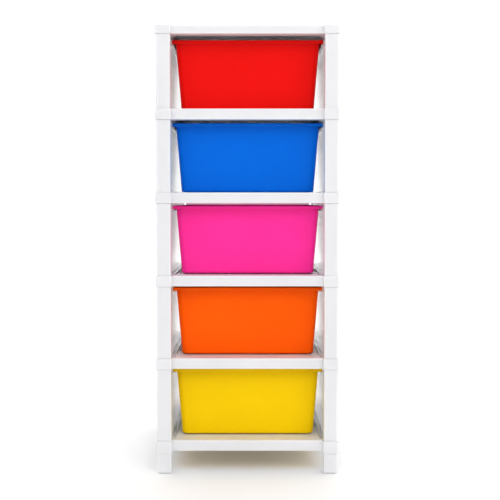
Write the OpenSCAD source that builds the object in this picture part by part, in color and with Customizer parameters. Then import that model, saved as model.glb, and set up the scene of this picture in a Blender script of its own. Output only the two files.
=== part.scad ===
// Five-drawer plastic storage tower.
// Six shelves are stacked on four lines of corner posts. Each shelf is a plate with
// rails that hang down round it, a flange round the underside and four corner blocks.
// Each post plugs into a socket in the corner block above it and in the one below it.
// A side panel stands between the posts on each side of every tier and carries the
// runner ledge that the rim of the drawer hangs on.
// +Z is up, the front faces -Y, and the origin is on the floor under the middle.

/* [Tower] */
// Overall width, across the corner blocks
tower_w = 320; // [312:1:335]
// Overall depth, across the corner blocks
tower_d = 390; // [370:1:410]
// Height from the underside of one shelf's corner blocks to the next
tier_pitch = 144.2; // [140:0.2:160]
// Height of the feet, up to the bottom shelf
foot_h = 35.9; // [28:0.1:50]

/* [Corner posts and blocks] */
// Side of the square posts
post_w = 25.3; // [24:0.1:26.5]
// Side of the square corner blocks
block_w = 28.5; // [28:0.1:30]
// How far a block stands proud of the posts, on the two outer sides
block_proud = 1.9; // [1:0.1:2.5]
// Radius of the outer upright edge of posts and blocks
outer_r = 4.5; // [2:0.5:6]
// Radius of the other upright edges
inner_r = 1.5; // [0.5:0.5:2]
// Length of the plug at each end of a post
plug_l = 7; // [4:0.5:7]
// Radius of the bottom edges of the feet
foot_r = 5; // [1:0.5:6]

/* [Shelves] */
// Height of a shelf, from the blocks' underside to the top of its rails
shelf_h = 19; // [18.5:0.1:22]
// Height of the top shelf, which has no posts above it
top_shelf_h = 15.4; // [13:0.1:20]
// Set-back of the rails behind the faces of the blocks
rail_setback = 9; // [6:0.5:10]
// Wall thickness of the rails
rail_t = 2.8; // [2.2:0.1:3.5]
// Thickness of a shelf's plate
plate_t = 2.5; // [2:0.1:3]
// How far the rails' lip stands over the plate
lip_h = 0.8; // [0.4:0.1:1.5]
// Width of the flange round the underside
flange_w = 25; // [20:1:28]
// Thickness of the flange round the underside
flange_t = 2.2; // [1.8:0.1:2.6]
// How far the rear rail hangs below the front one, to stop the drawer under it
rear_drop = 6; // [5:0.5:7]

/* [Side panels and runners] */
// Thickness of the panels
panel_t = 2.4; // [2:0.1:2.8]
// Step from the inner face of the posts out to the inner face of the panels
panel_step = 2.2; // [1.8:0.1:3]
// How far a runner ledge reaches in beyond the inner face of the posts
ledge_reach = 3.3; // [2.5:0.1:4]
// Thickness of a runner ledge
ledge_t = 3.2; // [2.4:0.1:4]
// How far a panel's foot reaches in beyond the inner face of the posts
foot_reach = 5.6; // [4:0.1:6.5]
// Thickness of a panel's foot
panel_foot_t = 2; // [1.4:0.1:2.4]

/* [Drawers] */
// Gap between the rim of a drawer and the posts, on each side
rim_side_gap = 0.3; // [0.3:0.1:1.5]
// Space over the rim, up to the underside of the rails above
rim_space = 4.2; // [3:0.1:8]
// Set-back of a closed drawer's rim behind the faces of the blocks
drawer_setback = 40; // [30:0.5:44]
// Space behind a closed drawer, up to the rear faces of the blocks
rear_space = 34; // [34:0.5:60]
// Overhang of the rim outside the walls
rim_overhang = 5.8; // [5:0.1:7]
// Height of the rim's turned-down edge
rim_h = 6; // [5:0.1:8]
// How far the side walls lean in, from rim to bottom
side_lean = 9.6; // [4:0.1:12]
// How far the front and rear walls lean in, from rim to bottom
front_lean = 9.6; // [1:0.1:12]
// Wall thickness of a drawer
drawer_t = 2; // [1.6:0.1:2.6]
// Radius of the bottom edge of a drawer
bottom_r = 4; // [3:0.5:8]
// Radius of the upright corners of a drawer
drawer_corner_r = 10; // [8:0.5:20]
// Radius of the rim's corners
rim_corner_r = 4.5; // [3:0.5:16]

/* [Hidden] */

$fn = 48;

white = [0.95, 0.95, 0.96];
tiers = 5;

hx = tower_w / 2;
hy = tower_d / 2;
// underside of the first line of corner blocks, as the tier spacing counts it
z_first = foot_h + 2.9;
// the top tier is a little taller than the others
top_extra = 1.8;
// the rails start a little above the blocks' underside
rail_lift = 0.4;
top_rail_lift = 0.8;

// inner faces of the posts
post_x = hx - block_proud - post_w;
post_y = hy - block_proud - post_w;
// inner faces of the blocks
block_x = hx - block_w;
block_y = hy - block_w;
// inner face of the side panels
panel_x = post_x + panel_step;

plug_inset = 3;
plug_gap = 0.2;
socket_d = plug_l + 0.5;
groove_d = 4.2;
groove_gap = 0.15;

// clearance of a drawer over the front rail, over the ledges and from the rear stop
drawer_gap = 0.8;
ledge_gap = 0.4;
stop_gap = 0.6;

function block_z(k) = k == 0 ? foot_h : z_first + k * tier_pitch + (k == tiers ? top_extra : 0);
function block_top(k) = k == tiers ? block_z(k) + top_shelf_h : z_first + k * tier_pitch + shelf_h;
function rail_z(k) = k == tiers ? block_z(k) + top_rail_lift : z_first + k * tier_pitch + rail_lift;
function plate_top(k) = block_top(k) - lip_h;
function drawer_z(k) = block_top(k) + drawer_gap;

// size of a drawer, over its rim
drawer_w = 2 * (post_x - rim_side_gap);
drawer_l = tower_d - drawer_setback - rear_space;
drawer_h = tier_pitch + rail_lift - shelf_h - drawer_gap - rim_space;

// ---- corner posts ----

// takes the sharp corner off, to leave a radius r, for a corner at the origin
// whose material lies towards +X +Y
module corner_cut(r) {
    difference() {
        translate([-1, -1]) square(r + 1);
        translate([r, r]) circle(r);
    }
}

// square with one outer radius, at its +X +Y corner, and small radii elsewhere
module corner_square(w) {
    difference() {
        square(w);
        translate([w, w]) rotate(180) corner_cut(outer_r);
        translate([0, w]) rotate(-90) corner_cut(inner_r);
        translate([w, 0]) rotate(90) corner_cut(inner_r);
        corner_cut(inner_r);
    }
}

// the same square, with the core of the moulding and the groove for the side panel
module post_section() {
    g0 = panel_step - groove_gap;
    difference() {
        corner_square(post_w);
        translate([g0, -1]) square([panel_t + 2 * groove_gap, groove_d + 1]);
        post_core();
    }
}

module post_core() {
    a = panel_step + panel_t + 2;
    b = groove_d + 2;
    e = post_w - plug_inset - 2.5;
    translate([a, b]) square([e - a, e - b]);
}

module plug_section() {
    difference() {
        translate([plug_inset, plug_inset]) square(post_w - 2 * plug_inset);
        post_core();
    }
}

// sets a corner piece, drawn for +X +Y, on the side that sx and sy give
module at_corner(sx, sy) {
    mirror([sx < 0 ? 1 : 0, 0, 0]) mirror([0, sy < 0 ? 1 : 0, 0]) children();
}

module post(k, sx, sy) {
    z0 = block_top(k);
    z1 = block_z(k + 1);
    color(white) at_corner(sx, sy) translate([post_x, post_y, 0]) union() {
        translate([0, 0, z0]) linear_extrude(z1 - z0) post_section();
        translate([0, 0, z0 - plug_l]) linear_extrude(plug_l) plug_section();
        translate([0, 0, z1]) linear_extrude(plug_l) plug_section();
    }
}

// ---- feet ----

// outline of a foot from the side, with rounded bottom edges
module foot_outline() {
    difference() {
        square([post_w, foot_h]);
        corner_cut(foot_r);
        translate([post_w, 0]) rotate(90) corner_cut(foot_r);
    }
}

module foot(sx, sy) {
    color(white) at_corner(sx, sy) translate([post_x, post_y, 0]) difference() {
        union() {
            intersection() {
                linear_extrude(foot_h) corner_square(post_w);
                translate([0, post_w, 0]) rotate([90, 0, 0]) linear_extrude(post_w) foot_outline();
                rotate([90, 0, 90]) linear_extrude(post_w) foot_outline();
            }
            translate([plug_inset, plug_inset, foot_h])
                cube([post_w - 2 * plug_inset, post_w - 2 * plug_inset, plug_l]);
        }
        // hollow of the moulding, open at the top
        translate([plug_inset + 2.5, plug_inset + 2.5, 6])
            cube([post_w - 2 * plug_inset - 5, post_w - 2 * plug_inset - 5, foot_h + plug_l]);
    }
}

// ---- shelves ----

module socket(z) {
    s = plug_inset - plug_gap;
    translate([post_x + s, post_y + s, z])
        cube([post_w - 2 * s, post_w - 2 * s, socket_d]);
}

module shelf(k) {
    zb = block_z(k);
    zt = block_top(k);
    zr = rail_z(k);
    rx = hx - rail_setback;
    ry = hy - rail_setback;
    color(white) difference() {
        union() {
            // corner blocks
            for (sx = [-1, 1]) for (sy = [-1, 1]) at_corner(sx, sy)
                translate([block_x, block_y, zb]) linear_extrude(zt - zb) corner_square(block_w);
            // plate
            translate([-rx, -ry, plate_top(k) - plate_t]) cube([2 * rx, 2 * ry, plate_t]);
            // flange round the underside
            difference() {
                translate([-rx, -ry, zr]) cube([2 * rx, 2 * ry, flange_t]);
                translate([flange_w - rx, flange_w - ry, zr - 1])
                    cube([2 * (rx - flange_w), 2 * (ry - flange_w), flange_t + 2]);
            }
            // front and rear rails
            for (s = [-1, 1]) translate([-block_x - 1, s > 0 ? ry - rail_t : -ry, zr])
                cube([2 * block_x + 2, rail_t, zt - zr]);
            // the rear rail's hanging edge, where there is a drawer below
            if (k > 0) translate([3 - block_x, ry - rail_t, zr - rear_drop])
                cube([2 * block_x - 6, rail_t, rear_drop + 1]);
            // side rails
            for (s = [-1, 1]) translate([s > 0 ? rx - rail_t : -rx, -block_y - 1, zr])
                cube([rail_t, 2 * block_y + 2, zt - zr]);
        }
        for (sx = [-1, 1]) for (sy = [-1, 1]) at_corner(sx, sy) {
            translate([0, 0, -1]) socket(zb);
            socket(zb);
            if (k < tiers) {
                socket(zt - socket_d);
                socket(zt - socket_d + 1);
            }
        }
    }
}

// ---- side panels ----

module side_panel(k, s) {
    z0 = plate_top(k);
    z1 = rail_z(k + 1);
    ledge_top = drawer_z(k) + drawer_h - rim_h - ledge_gap;
    ledge_x = post_x - ledge_reach;
    half = block_y - 0.3;
    // the ledge starts behind the front corner of the rim
    ledge_y = -hy + drawer_setback + 10;
    stop_y = -hy + drawer_setback + drawer_l + stop_gap;
    color(white) mirror([s < 0 ? 1 : 0, 0, 0]) union() {
        // the sheet, which stands on one shelf's plate and carries the next
        translate([panel_x, -half, z0]) cube([panel_t, 2 * half, z1 - z0]);
        // its edges, in the grooves of the posts
        translate([panel_x, -post_y - groove_d + 0.4, block_top(k) + 0.4])
            cube([panel_t, 2 * (post_y + groove_d - 0.4), block_z(k + 1) - block_top(k) - 0.8]);
        // runner ledge
        translate([ledge_x, ledge_y, ledge_top - ledge_t])
            cube([panel_x - ledge_x + 0.5, half - ledge_y, ledge_t]);
        // foot on the inner side
        translate([post_x - foot_reach, -half, z0])
            cube([panel_x - post_x + foot_reach + 0.5, 2 * half, panel_foot_t]);
        // rear stop
        translate([ledge_x, stop_y, ledge_top - 0.5])
            cube([panel_x - ledge_x + 0.5, 3, 5]);
        // stiffening ribs on the outer side
        for (z = [z0 + (z1 - z0) * 0.32, z0 + (z1 - z0) * 0.68])
            translate([panel_x + panel_t - 0.5, -half, z - 1]) cube([4.5, 2 * half, 2]);
        for (i = [-1 : 1])
            translate([panel_x + panel_t - 0.5, i * half / 2 - 1, z0]) cube([4.5, 2, z1 - z0]);
        // edge flanges on the outer side, at the foot and head of the sheet
        translate([panel_x + panel_t - 0.5, -half, z0]) cube([6.5, 2 * half, 2.4]);
        translate([panel_x + panel_t - 0.5, -half, z1 - 2.4]) cube([6.5, 2 * half, 2.4]);
    }
}

// ---- drawers ----

corner_steps = 6;

// one level of the drawer's outline: ix and iy are the insets from the rim's edge
function level(ix, iy, r, z) = [
    for (c = [0 : 3]) for (i = [0 : corner_steps])
        let (a = 90 * c + 90 * i / corner_steps,
             qx = drawer_w / 2 - ix - r,
             qy = drawer_l / 2 - iy - r,
             sx = (c == 0 || c == 3) ? 1 : -1,
             sy = (c < 2) ? 1 : -1)
        [sx * qx + r * cos(a), sy * qy + r * sin(a), z]
];

// insets and corner radius of the outer wall at height z
function wall_ix(z) = rim_overhang + side_lean * (1 - z / drawer_h);
function wall_iy(z) = rim_overhang + front_lean * (1 - z / drawer_h);

inner_bottom_r = bottom_r - 1;
drawer_floor_t = 2.2;

drawer_levels = concat(
    // outer bottom edge, rounded
    [for (a = [0 : 18 : 90])
        let (z = bottom_r * (1 - cos(a)), e = bottom_r * (1 - sin(a)))
        level(wall_ix(z) + e, wall_iy(z) + e, max(drawer_corner_r - e, 2), z)],
    [
        // up the wall to the underside of the rim, and round the rim
        level(wall_ix(drawer_h - 2), wall_iy(drawer_h - 2), drawer_corner_r, drawer_h - 2),
        level(1.8, 1.8, max(rim_corner_r - 1.8, 1), drawer_h - 2),
        level(1.8, 1.8, max(rim_corner_r - 1.8, 1), drawer_h - rim_h),
        level(0, 0, rim_corner_r, drawer_h - rim_h),
        level(0, 0, rim_corner_r, drawer_h - 0.8),
        level(0.8, 0.8, rim_corner_r - 0.8, drawer_h),
        // down the inside
        level(wall_ix(drawer_h) + drawer_t, wall_iy(drawer_h) + drawer_t,
              drawer_corner_r - drawer_t, drawer_h)
    ],
    // inner bottom edge, rounded
    [for (a = [90 : -18 : 0])
        let (z = drawer_floor_t + inner_bottom_r * (1 - cos(a)), e = inner_bottom_r * (1 - sin(a)))
        level(wall_ix(z) + drawer_t + e, wall_iy(z) + drawer_t + e,
              max(drawer_corner_r - drawer_t - e, 1.5), z)]
);

module bin() {
    n = 4 * (corner_steps + 1);
    m = len(drawer_levels);
    polyhedron(
        points = [for (l = drawer_levels) for (p = l) p],
        faces = concat(
            [[for (i = [0 : n - 1]) i]],
            [for (j = [0 : m - 2]) for (i = [0 : n - 1])
                let (i2 = (i + 1) % n) [j * n + i, (j + 1) * n + i, (j + 1) * n + i2]],
            [for (j = [0 : m - 2]) for (i = [0 : n - 1])
                let (i2 = (i + 1) % n) [j * n + i, (j + 1) * n + i2, j * n + i2]],
            [[for (i = [n - 1 : -1 : 0]) (m - 1) * n + i]]
        ),
        convexity = 4
    );
}

module drawer(k, tint) {
    color(tint) translate([0, -hy + drawer_setback + drawer_l / 2, drawer_z(k)]) bin();
}

// ---- the pieces ----

shelf(0);  // bottom_shelf
shelf(1);  // shelf_1
shelf(2);  // shelf_2
shelf(3);  // shelf_3
shelf(4);  // shelf_4
shelf(5);  // top_shelf

foot(-1, -1);  // foot_front_left
foot(1, -1);  // foot_front_right
foot(-1, 1);  // foot_rear_left
foot(1, 1);  // foot_rear_right

post(0, -1, -1);  // post_front_left_1
post(0, 1, -1);  // post_front_right_1
post(0, -1, 1);  // post_rear_left_1
post(0, 1, 1);  // post_rear_right_1
post(1, -1, -1);  // post_front_left_2
post(1, 1, -1);  // post_front_right_2
post(1, -1, 1);  // post_rear_left_2
post(1, 1, 1);  // post_rear_right_2
post(2, -1, -1);  // post_front_left_3
post(2, 1, -1);  // post_front_right_3
post(2, -1, 1);  // post_rear_left_3
post(2, 1, 1);  // post_rear_right_3
post(3, -1, -1);  // post_front_left_4
post(3, 1, -1);  // post_front_right_4
post(3, -1, 1);  // post_rear_left_4
post(3, 1, 1);  // post_rear_right_4
post(4, -1, -1);  // post_front_left_5
post(4, 1, -1);  // post_front_right_5
post(4, -1, 1);  // post_rear_left_5
post(4, 1, 1);  // post_rear_right_5

side_panel(0, -1);  // side_panel_left_1
side_panel(0, 1);  // side_panel_right_1
side_panel(1, -1);  // side_panel_left_2
side_panel(1, 1);  // side_panel_right_2
side_panel(2, -1);  // side_panel_left_3
side_panel(2, 1);  // side_panel_right_3
side_panel(3, -1);  // side_panel_left_4
side_panel(3, 1);  // side_panel_right_4
side_panel(4, -1);  // side_panel_left_5
side_panel(4, 1);  // side_panel_right_5

drawer(0, [0.96, 0.80, 0.02]);  // drawer_yellow
drawer(1, [1.00, 0.35, 0.01]);  // drawer_orange
drawer(2, [1.00, 0.18, 0.59]);  // drawer_pink
drawer(3, [0.00, 0.39, 0.88]);  // drawer_blue
drawer(4, [0.92, 0.07, 0.06]);  // drawer_red
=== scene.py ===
import math

import bmesh
import bpy
import numpy as np
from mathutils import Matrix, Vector


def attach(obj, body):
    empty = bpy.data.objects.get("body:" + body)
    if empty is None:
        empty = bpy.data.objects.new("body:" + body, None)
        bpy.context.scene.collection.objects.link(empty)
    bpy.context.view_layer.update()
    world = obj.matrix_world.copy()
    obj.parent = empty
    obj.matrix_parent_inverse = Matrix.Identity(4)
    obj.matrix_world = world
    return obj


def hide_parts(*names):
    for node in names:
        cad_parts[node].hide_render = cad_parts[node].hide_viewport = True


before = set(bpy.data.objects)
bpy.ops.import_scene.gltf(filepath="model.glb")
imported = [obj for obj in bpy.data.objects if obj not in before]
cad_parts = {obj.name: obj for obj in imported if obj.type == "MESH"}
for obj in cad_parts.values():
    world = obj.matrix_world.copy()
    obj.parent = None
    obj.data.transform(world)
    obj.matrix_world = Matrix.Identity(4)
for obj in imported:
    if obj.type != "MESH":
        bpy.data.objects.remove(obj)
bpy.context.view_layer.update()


MM = 0.001
COLL = bpy.context.scene.collection

# ---------------------------------------------------------------- dimensions
# The same figures as the frame's, in millimetres.
TOWER_W, TOWER_D = 320.0, 390.0
HX, HY = TOWER_W / 2, TOWER_D / 2
PITCH = 144.2
FOOT_H = 35.9
Z_FIRST = FOOT_H + 2.9
TIERS = 5
TOP_EXTRA = 1.8
SHELF_H, TOP_SHELF_H = 19.0, 15.4
POST_W, BLOCK_W, PROUD = 25.3, 28.5, 1.9
SETBACK, RAIL_T, PLATE_T, LIP_H = 9.0, 2.8, 2.5, 0.8
FLANGE_W, FLANGE_T, REAR_DROP = 25.0, 2.2, 6.0
POST_X, POST_Y = HX - PROUD - POST_W, HY - PROUD - POST_W
BLOCK_X, BLOCK_Y = HX - BLOCK_W, HY - BLOCK_W
PANEL_T, PANEL_STEP = 2.4, 2.2
PANEL_X = POST_X + PANEL_STEP
LEDGE_REACH, LEDGE_T = 3.3, 3.2
FOOT_REACH, PANEL_FOOT_T = 5.6, 2.0
PLUG_L, PLUG_INSET = 7.0, 3.0
GROOVE_D, GROOVE_GAP = 4.2, 0.15
OUTER_R, INNER_R = 4.5, 1.5
DRAWER_W, DRAWER_L, DRAWER_H = 265.0, 316.0, 120.6
DRAWER_SETBACK = 40.0
RIM_OVER, RIM_H = 5.8, 6.0
SIDE_LEAN, FRONT_LEAN = 9.6, 9.6
DRAWER_T = 2.0
BOTTOM_R = 4.0
CORNER_R, RIM_R = 10.0, 4.5


def block_z(k):
    if k == 0:
        return FOOT_H
    return Z_FIRST + k * PITCH + (TOP_EXTRA if k == TIERS else 0)


def block_top(k):
    if k == TIERS:
        return block_z(k) + TOP_SHELF_H
    return Z_FIRST + k * PITCH + SHELF_H


def rail_z(k):
    if k == TIERS:
        return block_z(k) + 0.8
    return Z_FIRST + k * PITCH + 0.4


def plate_top(k):
    return block_top(k) - LIP_H


def drawer_z(k):
    return block_top(k) + 0.8


# ---------------------------------------------------------------- materials
def _node(nt, kind, x, y, **inputs):
    n = nt.nodes.new(kind)
    n.location = (x, y)
    for key, value in inputs.items():
        n.inputs[key.replace("_", " ")].default_value = value
    return n


def moulded_plastic(name, rgb, deep, rough=0.36, grain=0.5, wear=0.5, sss=0.0, radius=0.006,
                    spec=0.5, tint=None, wave=0.35, spread=1.0):
    """Injection-moulded plastic: slightly uneven pigment, faint flow lines, fine grain,
    small scuffs and paler, rubbed edges."""
    mat = bpy.data.materials.new(name)
    mat.use_nodes = True
    nt = mat.node_tree
    nt.nodes.clear()
    out = _node(nt, "ShaderNodeOutputMaterial", 1500, 0)
    bsdf = _node(nt, "ShaderNodeBsdfPrincipled", 1200, 0)
    nt.links.new(bsdf.outputs["BSDF"], out.inputs["Surface"])
    bsdf.inputs["IOR"].default_value = 1.49
    bsdf.inputs["Specular IOR Level"].default_value = spec
    if sss > 0:
        bsdf.inputs["Subsurface Weight"].default_value = sss
        bsdf.inputs["Subsurface Radius"].default_value = (1.0, 1.0, 1.0)
        bsdf.inputs["Subsurface Scale"].default_value = radius

    coord = _node(nt, "ShaderNodeTexCoord", -1500, 0)

    # pigment: broad clouds and fine mottling
    cloud = _node(nt, "ShaderNodeTexNoise", -1100, 400, Scale=7.0, Detail=3.0, Roughness=0.5)
    nt.links.new(coord.outputs["Object"], cloud.inputs["Vector"])
    mottle = _node(nt, "ShaderNodeTexNoise", -1100, 150, Scale=160.0, Detail=4.0, Roughness=0.6)
    nt.links.new(coord.outputs["Object"], mottle.inputs["Vector"])
    both = _node(nt, "ShaderNodeMath", -850, 300)
    both.operation = "MULTIPLY_ADD"
    both.inputs[1].default_value = 0.35
    nt.links.new(mottle.outputs["Fac"], both.inputs[0])
    nt.links.new(cloud.outputs["Fac"], both.inputs[2])
    ramp = _node(nt, "ShaderNodeMapRange", -650, 300)
    ramp.inputs["From Min"].default_value = 0.45
    ramp.inputs["From Max"].default_value = 0.95
    nt.links.new(both.outputs[0], ramp.inputs["Value"])
    pigment = _node(nt, "ShaderNodeMix", -400, 300)
    pigment.data_type = "RGBA"
    pigment.inputs["A"].default_value = (*deep, 1.0)
    pigment.inputs["B"].default_value = (*rgb, 1.0)
    # the RGBA sockets of a Mix node are the 7th and 8th
    pigment.inputs[6].default_value = (*deep, 1.0)
    pigment.inputs[7].default_value = (*rgb, 1.0)
    nt.links.new(ramp.outputs["Result"], pigment.inputs[0])

    # rubbed edges, found from how sharply the surface turns, and broken up by noise
    geo = _node(nt, "ShaderNodeNewGeometry", -1100, -150)
    edge = _node(nt, "ShaderNodeMapRange", -850, -100)
    edge.inputs["From Min"].default_value = 0.52
    edge.inputs["From Max"].default_value = 0.62
    nt.links.new(geo.outputs["Pointiness"], edge.inputs["Value"])
    scuffed = _node(nt, "ShaderNodeTexNoise", -1100, -400, Scale=60.0, Detail=6.0, Roughness=0.65)
    nt.links.new(coord.outputs["Object"], scuffed.inputs["Vector"])
    broken = _node(nt, "ShaderNodeMapRange", -850, -350)
    broken.inputs["From Min"].default_value = 0.42
    broken.inputs["From Max"].default_value = 0.68
    nt.links.new(scuffed.outputs["Fac"], broken.inputs["Value"])
    worn = _node(nt, "ShaderNodeMath", -600, -150)
    worn.operation = "MULTIPLY"
    nt.links.new(edge.outputs["Result"], worn.inputs[0])
    nt.links.new(broken.outputs["Result"], worn.inputs[1])
    amount = _node(nt, "ShaderNodeMath", -400, -150)
    amount.operation = "MULTIPLY"
    amount.inputs[1].default_value = wear
    nt.links.new(worn.outputs[0], amount.inputs[0])
    pale = tint or tuple(min(1.0, 0.75 * c + 0.25 * 0.9) for c in rgb)
    skin = _node(nt, "ShaderNodeMix", -100, 200)
    skin.data_type = "RGBA"
    skin.inputs[7].default_value = (*pale, 1.0)
    nt.links.new(amount.outputs[0], skin.inputs[0])
    nt.links.new(pigment.outputs[2], skin.inputs[6])
    nt.links.new(skin.outputs[2], bsdf.inputs["Base Color"])

    # roughness: the moulding's finish, hair-fine scratches, and scuffed patches
    stretch = _node(nt, "ShaderNodeMapping", -1300, -650)
    stretch.inputs["Scale"].default_value = (1.0, 1.0, 22.0)
    stretch.inputs["Rotation"].default_value = (0.5, 0.3, 0.0)
    nt.links.new(coord.outputs["Object"], stretch.inputs["Vector"])
    hair = _node(nt, "ShaderNodeTexNoise", -1100, -650, Scale=40.0, Detail=5.0, Roughness=0.7)
    nt.links.new(stretch.outputs["Vector"], hair.inputs["Vector"])
    hair_r = _node(nt, "ShaderNodeMapRange", -850, -650)
    hair_r.inputs["From Min"].default_value = 0.35
    hair_r.inputs["From Max"].default_value = 0.75
    hair_r.inputs["To Min"].default_value = rough - 0.05 * spread
    hair_r.inputs["To Max"].default_value = rough + 0.09 * spread
    nt.links.new(hair.outputs["Fac"], hair_r.inputs["Value"])
    patch = _node(nt, "ShaderNodeMath", -400, -550)
    patch.operation = "MULTIPLY_ADD"
    patch.inputs[1].default_value = 0.10 * spread
    nt.links.new(broken.outputs["Result"], patch.inputs[0])
    nt.links.new(hair_r.outputs["Result"], patch.inputs[2])
    nt.links.new(patch.outputs[0], bsdf.inputs["Roughness"])

    # surface: fine spark-eroded grain over slow waves left by the mould's cooling
    grain_n = _node(nt, "ShaderNodeTexNoise", -600, -850, Scale=1100.0, Detail=2.0, Roughness=0.5)
    nt.links.new(coord.outputs["Object"], grain_n.inputs["Vector"])
    pits = _node(nt, "ShaderNodeTexVoronoi", -600, -1050, Scale=700.0)
    nt.links.new(coord.outputs["Object"], pits.inputs["Vector"])
    sink = _node(nt, "ShaderNodeTexNoise", -600, -1250, Scale=14.0, Detail=1.0, Roughness=0.4)
    nt.links.new(coord.outputs["Object"], sink.inputs["Vector"])
    b1 = _node(nt, "ShaderNodeBump", 300, -1150)
    b1.inputs["Strength"].default_value = wave
    b1.inputs["Distance"].default_value = 0.0012
    nt.links.new(sink.outputs["Fac"], b1.inputs["Height"])
    b2 = _node(nt, "ShaderNodeBump", 550, -950)
    b2.inputs["Strength"].default_value = 0.22 * grain
    b2.inputs["Distance"].default_value = 0.00006
    nt.links.new(pits.outputs["Distance"], b2.inputs["Height"])
    nt.links.new(b1.outputs["Normal"], b2.inputs["Normal"])
    b3 = _node(nt, "ShaderNodeBump", 800, -750)
    b3.inputs["Strength"].default_value = 0.5 * grain
    b3.inputs["Distance"].default_value = 0.00008
    nt.links.new(grain_n.outputs["Fac"], b3.inputs["Height"])
    nt.links.new(b2.outputs["Normal"], b3.inputs["Normal"])
    nt.links.new(b3.outputs["Normal"], bsdf.inputs["Normal"])
    return mat


WHITE = moulded_plastic("white_plastic", (0.745, 0.745, 0.76), (0.705, 0.707, 0.725),
                        rough=0.32, grain=0.5, wear=0.3, sss=1.0, radius=0.0038,
                        tint=(0.84, 0.84, 0.85))
TINTS = {
    "yellow": ((0.89, 0.595, 0.001), (0.85, 0.56, 0.001)),
    "orange": ((0.98, 0.115, 0.0005), (0.94, 0.10, 0.0005)),
    "pink": ((0.97, 0.036, 0.35), (0.93, 0.030, 0.31)),
    "blue": ((0.0004, 0.145, 0.69), (0.0004, 0.13, 0.64)),
    "red": ((0.80, 0.005, 0.004), (0.75, 0.0045, 0.003)),
}
COLOURS = ["yellow", "orange", "pink", "blue", "red"]
# the side panels are the thinnest mouldings: they let the most light through, and have
# the mould's polished finish, which mirrors the drawers at a glancing angle
THIN_WHITE = moulded_plastic("white_plastic_thin", (0.93, 0.93, 0.94), (0.90, 0.902, 0.915),
                             rough=0.13, grain=0.12, wear=0.2, sss=1.0, radius=0.035,
                             tint=(0.95, 0.95, 0.96), wave=0.05, spread=0.5)
DRAWER_MATS = {
    c: moulded_plastic(c + "_plastic", TINTS[c][0], TINTS[c][1], rough=0.33, grain=0.45, wear=0.35,
                       sss=0.35, radius=0.0012, spec=0.05)
    for c in COLOURS
}


# ---------------------------------------------------------------- mesh tools
def corner_arcs(hx, hy, radii, cx, cy, n, m=0):
    """Outline of a rounded rectangle, anticlockwise. radii are for the corners
    (+x +y), (-x +y), (-x -y), (+x -y); n steps round each, m extra points on each side."""
    pts = []
    signs = ((1, 1), (-1, 1), (-1, -1), (1, -1))
    for c, (sx, sy) in enumerate(signs):
        r = radii[c]
        ox, oy = cx + sx * (hx - r), cy + sy * (hy - r)
        for i in range(n + 1):
            a = math.radians(90 * c + 90 * i / n)
            pts.append((ox + r * math.cos(a), oy + r * math.sin(a)))
        if m:
            nxt = (c + 1) % 4
            r2 = radii[nxt]
            s2 = signs[nxt]
            a = math.radians(90 * nxt)
            q = (cx + s2[0] * (hx - r2) + r2 * math.cos(a), cy + s2[1] * (hy - r2) + r2 * math.sin(a))
            p = pts[-1]
            for j in range(1, m + 1):
                t = j / (m + 1)
                pts.append((p[0] + (q[0] - p[0]) * t, p[1] + (q[1] - p[1]) * t))
    return pts


def loft(rings, cap_first=True, cap_last=True):
    """Vertices and faces of a closed skin through rings of equally many points, in mm."""
    n = len(rings[0])
    verts = [tuple(c * MM for c in p) for r in rings for p in r]
    faces = []
    for j in range(len(rings) - 1):
        for i in range(n):
            k = (i + 1) % n
            faces.append((j * n + i, j * n + k, (j + 1) * n + k, (j + 1) * n + i))
    if cap_first:
        faces.append(tuple(reversed(range(n))))
    if cap_last:
        faces.append(tuple((len(rings) - 1) * n + i for i in range(n)))
    return verts, faces


def box_skin(lo, hi):
    x0, y0, z0 = lo
    x1, y1, z1 = hi
    ring = lambda z: [(x1, y1, z), (x0, y1, z), (x0, y0, z), (x1, y0, z)]
    return loft([ring(z0), ring(z1)])


def new_object(name, skins, mat):
    """One mesh object from closed skins."""
    verts, faces = [], []
    for v, f in skins:
        base = len(verts)
        verts += v
        faces += [tuple(base + i for i in q) for q in f]
    me = bpy.data.meshes.new(name)
    me.from_pydata(verts, [], faces)
    me.update()
    me.validate()
    bm = bmesh.new()
    bm.from_mesh(me)
    bmesh.ops.recalc_face_normals(bm, faces=bm.faces)
    bm.to_mesh(me)
    bm.free()
    obj = bpy.data.objects.new(name, me)
    COLL.objects.link(obj)
    if mat:
        me.materials.append(mat)
    return obj


def apply_all(obj):
    """Replaces obj's mesh with what its modifiers make of it."""
    deps = bpy.context.evaluated_depsgraph_get()
    made = bpy.data.meshes.new_from_object(obj.evaluated_get(deps), depsgraph=deps)
    old = obj.data
    obj.modifiers.clear()
    obj.data = made
    made.name = obj.name
    bpy.data.meshes.remove(old)


def boolean(obj, other, how):
    m = obj.modifiers.new(how.lower(), "BOOLEAN")
    m.operation = how
    m.solver = "EXACT"
    m.object = other
    apply_all(obj)
    bpy.data.objects.remove(other)


def tidy(obj, angle=0.5):
    """Joins flat neighbours into whole faces, so that bevels run cleanly."""
    bm = bmesh.new()
    bm.from_mesh(obj.data)
    bmesh.ops.remove_doubles(bm, verts=bm.verts, dist=2e-6)
    bmesh.ops.dissolve_limit(bm, angle_limit=math.radians(angle), verts=bm.verts, edges=bm.edges)
    bm.to_mesh(obj.data)
    bm.free()


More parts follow.
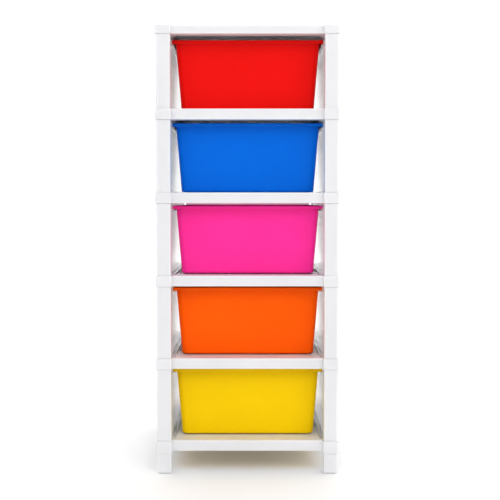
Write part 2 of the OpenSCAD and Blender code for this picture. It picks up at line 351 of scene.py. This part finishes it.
def finish_surface(obj, sharp=38, bevel=0.0, segments=2):
    me = obj.data
    if bevel:
        m = obj.modifiers.new("edges", "BEVEL")
        m.width = bevel * MM
        m.segments = segments
        m.limit_method = "ANGLE"
        m.angle_limit = math.radians(32)
        m.use_clamp_overlap = True
        m.miter_outer = "MITER_ARC"
        apply_all(obj)
        me = obj.data
    me.shade_smooth()
    me.set_sharp_from_angle(angle=math.radians(sharp))
    w = obj.modifiers.new("normals", "WEIGHTED_NORMAL")
    w.mode = "FACE_AREA"
    w.weight = 60
    w.keep_sharp = True
    apply_all(obj)


def place(obj, body, slot, *nodes):
    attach(obj, body)
    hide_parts(*nodes)


# ---------------------------------------------------------------- corner blocks
def corner_map(pts, sx, sy):
    """Turns a piece drawn in the +X +Y corner to the corner that sx, sy give."""
    return [(sx * x, sy * y, z) for x, y, z in pts]


def block_skin(k, sx, sy):
    zb, zt = block_z(k), block_top(k)
    h = zt - zb
    rings = []

    def add(z, inset_out, inset_in):
        # the outer two faces and the inner two faces draw in by different amounts
        x0, x1 = BLOCK_X + inset_in, HX - inset_out
        y0, y1 = BLOCK_Y + inset_in, HY - inset_out
        r = max(OUTER_R + 0.5 - inset_out * 0.5, 2.0)
        pts = corner_arcs((x1 - x0) / 2, (y1 - y0) / 2, (r, 1.8, 1.8, 1.8),
                          (x0 + x1) / 2, (y0 + y1) / 2, 8)
        rings.append(corner_map([(x, y, z) for x, y in pts], sx, sy))

    # underside, with a small round
    for a in range(0, 91, 18):
        c, s = math.cos(math.radians(a)), math.sin(math.radians(a))
        add(zb + 1.3 * (1 - c), 1.3 * (1 - s) + 0.25 * c, 1.0 * (1 - s))
    if k < TIERS:
        # swells a little, then leans in towards the post above
        for t, e in ((0.22, 0.06), (0.38, 0.0), (0.55, 0.06), (0.70, 0.22), (0.82, 0.42)):
            add(zb + h * t, e, 0.0)
        for a in range(0, 91, 18):
            c, s = math.cos(math.radians(a)), math.sin(math.radians(a))
            add(zt - 1.5 * (1 - s), 0.5 + 1.35 * (1 - c), 0.9 * (1 - c))
    else:
        for t, e in ((0.3, 0.05), (0.6, 0.0), (0.8, 0.05)):
            add(zb + h * t, e, 0.0)
        for a in range(0, 91, 15):
            c, s = math.cos(math.radians(a)), math.sin(math.radians(a))
            add(zt - 1.4 * (1 - s), 0.05 + 1.35 * (1 - c), 1.2 * (1 - c))
    v, f = loft(rings)
    return v, f


def tray_skin(k):
    """Plate and four rails of one shelf, with the flange round its underside, as a
    single skin."""
    zr, zt, zp = rail_z(k), block_top(k), plate_top(k)
    rx, ry = HX - SETBACK, HY - SETBACK
    r0 = 6.0
    rings = []

    def add(inset, z):
        r = max(r0 - inset, 1.2)
        rings.append([(x, y, z) for x, y in corner_arcs(rx - inset, ry - inset, (r,) * 4, 0, 0, 6)])

    # under the plate: down the inside of the rails and out along the flange
    add(RAIL_T + 1.5, zp - PLATE_T)
    for a in range(0, 91, 30):
        c, s = math.cos(math.radians(a)), math.sin(math.radians(a))
        add(RAIL_T + 1.2 * (1 - s), zp - PLATE_T - 1.2 * (1 - c))
    add(RAIL_T, zr + FLANGE_T + 1.2)
    for a in range(30, 91, 30):
        c, s = math.cos(math.radians(a)), math.sin(math.radians(a))
        add(RAIL_T + 1.2 * (1 - c), zr + FLANGE_T + 1.2 * (1 - s))
    add(FLANGE_W - 0.8, zr + FLANGE_T)
    for a in range(30, 91, 30):
        c, s = math.cos(math.radians(a)), math.sin(math.radians(a))
        add(FLANGE_W - 0.8 * (1 - s), zr + FLANGE_T - 0.8 * (1 - c))
    add(FLANGE_W, zr + 0.8)
    for a in range(30, 91, 30):
        c, s = math.cos(math.radians(a)), math.sin(math.radians(a))
        add(FLANGE_W - 0.8 * (1 - c), zr + 0.8 * (1 - s))
    # outer lower edge
    for a in range(0, 91, 22):
        c, s = math.cos(math.radians(a)), math.sin(math.radians(a))
        add(1.2 * (1 - s), zr + 1.2 * (1 - c))
    add(0.0, zr + 1.2)
    add(0.0, zt - 1.8)
    # lip
    for a in range(15, 91, 15):
        c, s = math.cos(math.radians(a)), math.sin(math.radians(a))
        add(1.8 * (1 - c), zt - 1.8 * (1 - s))
    add(RAIL_T - 0.4, zt - 0.03)
    add(RAIL_T - 0.12, zt - 0.15)
    # over the lip and down to the plate, with a small fillet
    for a in range(15, 91, 25):
        c, s = math.cos(math.radians(a)), math.sin(math.radians(a))
        add(RAIL_T + 0.6 * (1 - c), zp + 0.6 * (1 - s))
    add(RAIL_T + 1.4, zp)
    return loft(rings)


def socket_skin(x0, x1, y0, y1, z0, z1, sx, sy):
    pts = [(x1, y1), (x0, y1), (x0, y0), (x1, y0)]
    return loft([corner_map([(x, y, z) for x, y in pts], sx, sy) for z in (z0, z1)])


CORNERS = [(-1, -1, "front_left"), (1, -1, "front_right"), (-1, 1, "rear_left"), (1, 1, "rear_right")]
SHELF_NAMES = ["bottom_shelf", "shelf_1", "shelf_2", "shelf_3", "shelf_4", "top_shelf"]


def make_shelf(k):
    name = SHELF_NAMES[k]
    obj = new_object(name + "_moulding", [tray_skin(k)], WHITE)
    if k > 0:
        # the rear rail's hanging edge
        ry, zr = HY - SETBACK, rail_z(k)
        edge = new_object("tmp", [box_skin((3 - BLOCK_X, ry - RAIL_T, zr - REAR_DROP),
                                           (BLOCK_X - 3, ry, zr + 1.6))], WHITE)
        m = edge.modifiers.new("round", "BEVEL")
        m.width = 0.7 * MM
        m.segments = 3
        apply_all(edge)
        boolean(obj, edge, "UNION")
    for sx, sy, _ in CORNERS:
        boolean(obj, new_object("tmp", [block_skin(k, sx, sy)], WHITE), "UNION")
    s = PLUG_INSET - 0.2
    d = PLUG_L + 0.5
    zb, zt = block_z(k), block_top(k)
    for sx, sy, _ in CORNERS:
        skins = [socket_skin(POST_X + s, POST_X + POST_W - s, POST_Y + s, POST_Y + POST_W - s,
                             zb - 1, zb + d, sx, sy)]
        boolean(obj, new_object("tmp", skins, WHITE), "DIFFERENCE")
        if k < TIERS:
            skins = [socket_skin(POST_X + s, POST_X + POST_W - s, POST_Y + s, POST_Y + POST_W - s,
                                 zt - d, zt + 1, sx, sy)]
            boolean(obj, new_object("tmp", skins, WHITE), "DIFFERENCE")
    finish_surface(obj, sharp=32)
    place(obj, "frame", "white_plastic", name)
    return obj


# ---------------------------------------------------------------- posts and feet
def post_outline(inset, r_out):
    """Square outline of a post in the +X +Y corner, with the outer corner rounded more than the others; the
    groove for the side panel is cut in make_post. Anticlockwise, always the same number of points."""
    x0, x1 = POST_X + inset, POST_X + POST_W - inset
    y0, y1 = POST_Y + inset, POST_Y + POST_W - inset
    r_in = max(INNER_R - inset * 0.4, 0.4)
    arcs = corner_arcs((x1 - x0) / 2, (y1 - y0) / 2, (r_out, r_in, r_in, r_in),
                       (x0 + x1) / 2, (y0 + y1) / 2, 8)
    return arcs


def make_post(k, sx, sy, where):
    name = "post_%s_%d" % (where, k + 1)
    z0, z1 = block_top(k), block_z(k + 1)
    rings = []

    def add(inset, z, r_out):
        rings.append(corner_map([(x, y, z) for x, y in post_outline(inset, r_out)], sx, sy))

    add(PLUG_INSET + 0.5, z0 - PLUG_L, 1.2)
    add(PLUG_INSET, z0 - PLUG_L + 0.7, 1.6)
    add(PLUG_INSET, z0, 1.6)
    # the shoulder sits a hair inside the surface, which draws the seam as a fine line
    add(0.55, z0, 4.0)
    add(0.15, z0 + 0.18, 4.3)
    add(0.0, z0 + 0.6, OUTER_R)
    # a barely seen waist: long walls shrink inwards as they cool
    for t in (0.25, 0.5, 0.75):
        add(0.12 * math.sin(math.pi * t), z0 + (z1 - z0) * t, OUTER_R)
    add(0.0, z1 - 0.7, OUTER_R)
    add(0.2, z1 - 0.22, 4.3)
    add(0.7, z1, 3.9)
    add(PLUG_INSET, z1, 1.6)
    add(PLUG_INSET, z1 + PLUG_L - 0.7, 1.6)
    add(PLUG_INSET + 0.5, z1 + PLUG_L, 1.2)
    obj = new_object(name + "_moulding", [loft(rings)], WHITE)
    gx0 = POST_X + PANEL_STEP - GROOVE_GAP
    gx1 = POST_X + PANEL_STEP + PANEL_T + GROOVE_GAP
    groove = [(gx0, POST_Y - 2), (gx1, POST_Y - 2), (gx1, POST_Y + GROOVE_D), (gx0, POST_Y + GROOVE_D)]
    skins = [loft([corner_map([(x, y, z) for x, y in groove], sx, sy) for z in (z0 - 1, z1 + 1)])]
    boolean(obj, new_object("tmp", skins, WHITE), "DIFFERENCE")
    finish_surface(obj, sharp=34)
    place(obj, "frame", "white_plastic", name)
    return obj


def make_foot(sx, sy, where):
    name = "foot_%s" % where
    rings = []

    def add(inset, z, r_out):
        rings.append(corner_map([(x, y, z) for x, y in post_outline(inset, r_out)], sx, sy))

    r = 5.0
    add(r + 2.2, 0.5, 1.4)
    add(r + 1.6, 0.0, 1.6)
    for a in range(0, 91, 10):
        c, s = math.cos(math.radians(a)), math.sin(math.radians(a))
        add(r * (1 - s), r * (1 - c), max(1.8, OUTER_R - 0.45 * r * (1 - s)))
    add(0.0, FOOT_H - 0.7, OUTER_R)
    add(0.2, FOOT_H - 0.22, 4.3)
    add(0.7, FOOT_H, 3.9)
    add(PLUG_INSET, FOOT_H, 1.6)
    add(PLUG_INSET, FOOT_H + PLUG_L - 0.7, 1.6)
    add(PLUG_INSET + 0.5, FOOT_H + PLUG_L, 1.2)
    obj = new_object(name + "_moulding", [loft(rings)], WHITE)
    finish_surface(obj, sharp=34)
    place(obj, "frame", "white_plastic", name)
    return obj


# ---------------------------------------------------------------- side panels
def make_panel(k, s, side):
    name = "side_panel_%s_%d" % (side, k + 1)
    z0, z1 = plate_top(k), rail_z(k + 1)
    ledge_top = drawer_z(k) + DRAWER_H - RIM_H - 0.4
    ledge_x = POST_X - LEDGE_REACH
    half = BLOCK_Y - 0.3
    ledge_y = -HY + DRAWER_SETBACK + 10
    stop_y = -HY + DRAWER_SETBACK + DRAWER_L + 0.6
    x0, x1 = PANEL_X, PANEL_X + PANEL_T

    def b(lo, hi):
        lo2, hi2 = list(lo), list(hi)
        if s < 0:
            lo2[0], hi2[0] = -hi[0], -lo[0]
        return new_object("tmp", [box_skin(lo2, hi2)], THIN_WHITE)

    obj = b((x0, -half, z0), (x1, half, z1))
    obj.name = name + "_moulding"
    tongue = POST_Y + GROOVE_D - 0.4
    parts = [
        b((x0, -tongue, block_top(k) + 0.4), (x1, tongue, block_z(k + 1) - 0.4)),
        b((ledge_x, ledge_y, ledge_top - LEDGE_T), (x0 + 0.5, half, ledge_top)),
        b((POST_X - FOOT_REACH, -half, z0), (x0 + 0.5, half, z0 + PANEL_FOOT_T)),
        b((ledge_x, stop_y, ledge_top - 0.5), (x0 + 0.5, stop_y + 3, ledge_top + 4.5)),
    ]
    for f in (0.32, 0.68):
        z = z0 + (z1 - z0) * f
        parts.append(b((x1 - 0.5, -half, z - 1), (x1 + 4.0, half, z + 1)))
    for i in (-1, 0, 1):
        parts.append(b((x1 - 0.5, i * half / 2 - 1, z0), (x1 + 4.0, i * half / 2 + 1, z1)))
    parts.append(b((x1 - 0.5, -half, z0), (x1 + 6.0, half, z0 + 2.4)))
    parts.append(b((x1 - 0.5, -half, z1 - 2.4), (x1 + 6.0, half, z1)))
    for p in parts:
        boolean(obj, p, "UNION")
    tidy(obj)
    finish_surface(obj, sharp=34, bevel=0.35, segments=2)
    place(obj, "frame", "white_plastic", name)
    return obj


# ---------------------------------------------------------------- drawers
def make_drawer(k):
    colour = COLOURS[k]
    name = "drawer_" + colour
    hx, hy = DRAWER_W / 2, DRAWER_L / 2
    cy = -HY + DRAWER_SETBACK + hy
    zb = drawer_z(k)
    H = DRAWER_H
    n, m = 12, 9

    def lean(total, z):
        return RIM_OVER + total * (1 - z / H)

    rings = []

    def add(ix, iy, r, z, bow=0.0):
        pts = corner_arcs(hx - ix, hy - iy, (max(r, 0.8),) * 4, 0, 0, n, m)
        out = []
        for x, y in pts:
            # long walls draw in by a fraction of a millimetre between the corners
            fx = max(0.0, 1 - (y / (hy - iy)) ** 2)
            fy = max(0.0, 1 - (x / (hx - ix)) ** 2)
            nx = abs(x) > (hx - ix) - 0.01
            ny = abs(y) > (hy - iy) - 0.01
            if bow and nx:
                x -= math.copysign(bow * fx, x)
            if bow and ny:
                y -= math.copysign(bow * fy, y)
            out.append((x, y + cy, z + zb))
        rings.append(out)

    def wall(z, off, r, bow=0.0):
        add(lean(SIDE_LEAN, z) + off, lean(FRONT_LEAN, z) + off, r, z, bow)

    # underside: flat rest, with a panel set up by a fraction of a millimetre
    wall(0.0, BOTTOM_R + 8.0, 3.0)
    rings[-1] = [(x, y, z + 0.7) for x, y, z in rings[-1]]
    wall(0.0, BOTTOM_R + 7.0, 3.0)
    for a in range(0, 91, 10):
        c, s = math.cos(math.radians(a)), math.sin(math.radians(a))
        e = BOTTOM_R * (1 - s)
        wall(BOTTOM_R * (1 - c), e, CORNER_R - e * 0.9)
    for t in (0.18, 0.32, 0.46, 0.60, 0.74, 0.86, 0.93):
        wall(H * t, 0.0, CORNER_R, 0.55 * math.sin(math.pi * min(1.0, t * 1.02)))
    # fillet under the rim, then its turned-down edge
    r_rim = RIM_R
    wall(H - 2.9, 0.0, CORNER_R)
    wall(H - 2.3, -0.25, CORNER_R)
    wall(H - 2.0, -0.9, CORNER_R - 0.6)
    add(2.5, 2.5, r_rim - 2.5, H - 2.0)
    add(1.95, 1.95, r_rim - 1.95, H - 2.2)
    add(1.8, 1.8, r_rim - 1.8, H - 2.8)
    add(1.65, 1.65, r_rim - 1.65, H - RIM_H + 0.5)
    add(1.4, 1.4, r_rim - 1.4, H - RIM_H + 0.1)
    add(1.1, 1.1, r_rim - 1.1, H - RIM_H)
    add(0.5, 0.5, r_rim - 0.5, H - RIM_H)
    add(0.2, 0.2, r_rim - 0.2, H - RIM_H + 0.15)
    add(0.02, 0.02, r_rim, H - RIM_H + 0.6)
    add(0.0, 0.0, r_rim, H - RIM_H + 1.2)
    for a in range(0, 91, 15):
        c, s = math.cos(math.radians(a)), math.sin(math.radians(a))
        add(1.7 * (1 - c), 1.7 * (1 - c), r_rim - 1.7 * (1 - c), H - 1.7 * (1 - s))
    # rim's flat top, and the inner edge
    e_in = RIM_OVER + DRAWER_T
    add(e_in - 1.3, e_in - 1.3, CORNER_R - DRAWER_T + 1.3, H)
    for a in range(20, 91, 14):
        c, s = math.cos(math.radians(a)), math.sin(math.radians(a))
        add(e_in - 1.2 * (1 - s), e_in - 1.2 * (1 - s), CORNER_R - DRAWER_T + 1.2 * (1 - s), H - 1.2 * (1 - c))
    for t in (0.93, 0.86, 0.74, 0.60, 0.46, 0.32, 0.18):
        wall(H * t, DRAWER_T, CORNER_R - DRAWER_T, 0.55 * math.sin(math.pi * min(1.0, t * 1.02)))
    r_in = BOTTOM_R - 1
    for a in range(90, -1, -10):
        c, s = math.cos(math.radians(a)), math.sin(math.radians(a))
        e = r_in * (1 - s)
        wall(2.2 + r_in * (1 - c), DRAWER_T + e, CORNER_R - DRAWER_T - e * 0.9)
    wall(2.2, DRAWER_T + r_in + 6.0, 3.0)
    obj = new_object(name + "_bin", [loft(rings)], DRAWER_MATS[colour])
    finish_surface(obj, sharp=42)
    place(obj, colour + "_drawer", colour + "_plastic", name)
    return obj


for k in range(TIERS + 1):
    make_shelf(k)
for k in range(TIERS):
    for sx, sy, where in CORNERS:
        make_post(k, sx, sy, where)
    make_panel(k, -1, "left")
    make_panel(k, 1, "right")
    make_drawer(k)
for sx, sy, where in CORNERS:
    make_foot(sx, sy, where)


# ---------------------------------------------------------------- floor
def make_floor():
    mat = bpy.data.materials.new("floor_paper")
    mat.use_nodes = True
    nt = mat.node_tree
    bsdf = nt.nodes["Principled BSDF"]
    bsdf.inputs["Roughness"].default_value = 0.75
    bsdf.inputs["Specular IOR Level"].default_value = 0.2
    coord = _node(nt, "ShaderNodeTexCoord", -900, 0)
    noise = _node(nt, "ShaderNodeTexNoise", -700, 0, Scale=3.0, Detail=3.0)
    nt.links.new(coord.outputs["Object"], noise.inputs["Vector"])
    mix = _node(nt, "ShaderNodeMix", -400, 0)
    mix.data_type = "RGBA"
    mix.inputs[6].default_value = (0.91, 0.91, 0.91, 1)
    mix.inputs[7].default_value = (0.94, 0.938, 0.935, 1)
    nt.links.new(noise.outputs["Fac"], mix.inputs[0])
    # the paper is a shade greyer well in front of the tower
    where = _node(nt, "ShaderNodeSeparateXYZ", -700, -300)
    nt.links.new(coord.outputs["Object"], where.inputs[0])
    near = _node(nt, "ShaderNodeMapRange", -450, -300)
    near.interpolation_type = "SMOOTHSTEP"
    near.inputs["From Min"].default_value = -1.5
    near.inputs["From Max"].default_value = -0.4
    near.inputs["To Min"].default_value = 1.0
    near.inputs["To Max"].default_value = 0.0
    nt.links.new(where.outputs["Y"], near.inputs["Value"])
    grey = _node(nt, "ShaderNodeMix", -200, 0)
    grey.data_type = "RGBA"
    grey.inputs[7].default_value = (0.86, 0.86, 0.86, 1)
    nt.links.new(near.outputs["Result"], grey.inputs[0])
    nt.links.new(mix.outputs[2], grey.inputs[6])
    # painted light: the floor's colour is tinted warm under the tower, a painted stand-in for the warm light
    # that comes through the bottom shelf
    inside = []
    for axis, half in (("X", 0.14), ("Y", 0.165)):
        size = _node(nt, "ShaderNodeMath", -450, -500)
        size.operation = "ABSOLUTE"
        nt.links.new(where.outputs[axis], size.inputs[0])
        fade = _node(nt, "ShaderNodeMapRange", -250, -500)
        fade.interpolation_type = "SMOOTHSTEP"
        fade.inputs["From Min"].default_value = half - 0.04
        fade.inputs["From Max"].default_value = half + 0.01
        fade.inputs["To Min"].default_value = 1.0
        fade.inputs["To Max"].default_value = 0.0
        nt.links.new(size.outputs[0], fade.inputs["Value"])
        inside.append(fade)
    under = _node(nt, "ShaderNodeMath", -50, -400)
    under.operation = "MULTIPLY"
    nt.links.new(inside[0].outputs["Result"], under.inputs[0])
    nt.links.new(inside[1].outputs["Result"], under.inputs[1])
    # mixes the painted warm light into the floor's colour under the tower
    painted_warm_light = _node(nt, "ShaderNodeMix", 0, 0)
    painted_warm_light.data_type = "RGBA"
    painted_warm_light.inputs[7].default_value = (0.97, 0.87, 0.70, 1)
    nt.links.new(under.outputs[0], painted_warm_light.inputs[0])
    nt.links.new(grey.outputs[2], painted_warm_light.inputs[6])
    nt.links.new(painted_warm_light.outputs[2], bsdf.inputs["Base Color"])
    n = 24
    size = 16.0
    verts = [((i / n - 0.5) * size, (j / n - 0.5) * size, 0.0) for j in range(n + 1) for i in range(n + 1)]
    faces = [(j * (n + 1) + i, j * (n + 1) + i + 1, (j + 1) * (n + 1) + i + 1, (j + 1) * (n + 1) + i)
             for j in range(n) for i in range(n)]
    me = bpy.data.meshes.new("floor")
    me.from_pydata(verts, [], faces)
    me.materials.append(mat)
    obj = bpy.data.objects.new("floor", me)
    COLL.objects.link(obj)


make_floor()


# ---------------------------------------------------------------- light
def area(name, loc, target, size, power, colour=(1, 1, 1), size_y=None):
    data = bpy.data.lights.new(name, "AREA")
    data.energy = power
    data.color = colour
    data.shape = "RECTANGLE" if size_y else "SQUARE"
    data.size = size
    if size_y:
        data.size_y = size_y
    obj = bpy.data.objects.new(name, data)
    obj.location = loc
    aim = Vector(target) - Vector(loc)
    obj.rotation_euler = aim.to_track_quat("-Z", "Y").to_euler()
    COLL.objects.link(obj)
    return obj


def make_world():
    """White room: white walls all round at eye level, with a dimmer stretch above them in
    front of the tower, where the lamps take over."""
    world = bpy.data.worlds.new("studio")
    bpy.context.scene.world = world
    world.use_nodes = True
    nt = world.node_tree
    bg = nt.nodes["Background"]
    coord = _node(nt, "ShaderNodeTexCoord", -1200, 0)
    split = _node(nt, "ShaderNodeSeparateXYZ", -1000, 0)
    nt.links.new(coord.outputs["Generated"], split.inputs[0])
    ceiling = _node(nt, "ShaderNodeMapRange", -750, 200)
    ceiling.interpolation_type = "SMOOTHSTEP"
    ceiling.inputs["From Min"].default_value = 0.30
    ceiling.inputs["From Max"].default_value = 0.85
    ceiling.inputs["To Min"].default_value = 1.0
    ceiling.inputs["To Max"].default_value = CEILING
    nt.links.new(split.outputs["Z"], ceiling.inputs["Value"])
    front = _node(nt, "ShaderNodeMapRange", -750, -200)
    front.interpolation_type = "SMOOTHSTEP"
    front.inputs["From Min"].default_value = -0.55
    front.inputs["From Max"].default_value = 0.05
    front.inputs["To Min"].default_value = DIM
    front.inputs["To Max"].default_value = BACK
    nt.links.new(split.outputs["Y"], front.inputs["Value"])
    # a window's side to the right, a wall to the left
    right = _node(nt, "ShaderNodeMapRange", -750, -500)
    right.interpolation_type = "SMOOTHSTEP"
    right.inputs["From Min"].default_value = 0.2
    right.inputs["From Max"].default_value = 0.8
    right.inputs["To Min"].default_value = 1.0
    right.inputs["To Max"].default_value = RIGHT
    nt.links.new(split.outputs["X"], right.inputs["Value"])
    left = _node(nt, "ShaderNodeMapRange", -750, -800)
    left.interpolation_type = "SMOOTHSTEP"
    left.inputs["From Min"].default_value = -0.8
    left.inputs["From Max"].default_value = -0.2
    left.inputs["To Min"].default_value = LEFT
    left.inputs["To Max"].default_value = 1.0
    nt.links.new(split.outputs["X"], left.inputs["Value"])
    level = _node(nt, "ShaderNodeMapRange", -750, -1100)
    level.interpolation_type = "SMOOTHSTEP"
    level.inputs["From Min"].default_value = 0.09
    level.inputs["From Max"].default_value = 0.24
    level.inputs["To Min"].default_value = 1.0
    level.inputs["To Max"].default_value = 0.0
    nt.links.new(split.outputs["Z"], level.inputs["Value"])
    ahead = _node(nt, "ShaderNodeMath", -600, -200)
    ahead.operation = "MAXIMUM"
    nt.links.new(front.outputs["Result"], ahead.inputs[0])
    nt.links.new(level.outputs["Result"], ahead.inputs[1])
    total = ceiling.outputs["Result"]
    for i, part in enumerate((ahead, right, left)):
        both = _node(nt, "ShaderNodeMath", -450 + 150 * i, 0)
        both.operation = "MULTIPLY"
        nt.links.new(total, both.inputs[0])
        nt.links.new(part.outputs[0], both.inputs[1])
        total = both.outputs[0]
    nt.links.new(total, bg.inputs["Strength"])
    bg.inputs["Color"].default_value = (1.0, 1.0, 1.0, 1.0)


CEILING, DIM, RIGHT, LEFT, BACK = 0.58, 0.15, 1.8, 1.35, 1.2
make_world()
area("key", (6.2, -9.3, 6.8), (0.0, -0.15, 0.4), 5.0, 350.0, (1.0, 0.995, 0.985))
area("fill", (-6.2, -9.3, 6.8), (0.0, -0.15, 0.4), 5.0, 265.0, (0.985, 0.99, 1.0))
area("front", (0.5, -11.2, 6.2), (0.0, -0.15, 0.4), 4.0, 232.0, (1.0, 1.0, 1.0))
area("overhead", (0.6, -6.65, 10.0), (0.0, -0.15, 0.4), 4.4, 215.0, (1.0, 1.0, 1.0))
area("sweep", (0.0, 6.2, 4.5), (0.0, 7.4, 0.0), 6.0, 250.0, (1.0, 1.0, 1.0))

# ---------------------------------------------------------------- camera
cam_data = bpy.data.cameras.new("camera")
cam_data.sensor_width = 36.0
cam_data.lens = 1018.0 / 500.0 * 36.0
cam_data.shift_x = 2.4 / 500.0
cam = bpy.data.objects.new("camera", cam_data)
cam.location = (0.0, -HY * MM - 1.752, 0.477)
cam.rotation_euler = (math.radians(90.0 - 2.8), 0.0, 0.0)
COLL.objects.link(cam)
bpy.context.scene.camera = cam

bpy.context.scene.view_settings.view_transform = "Standard"
bpy.context.scene.view_settings.look = "None"
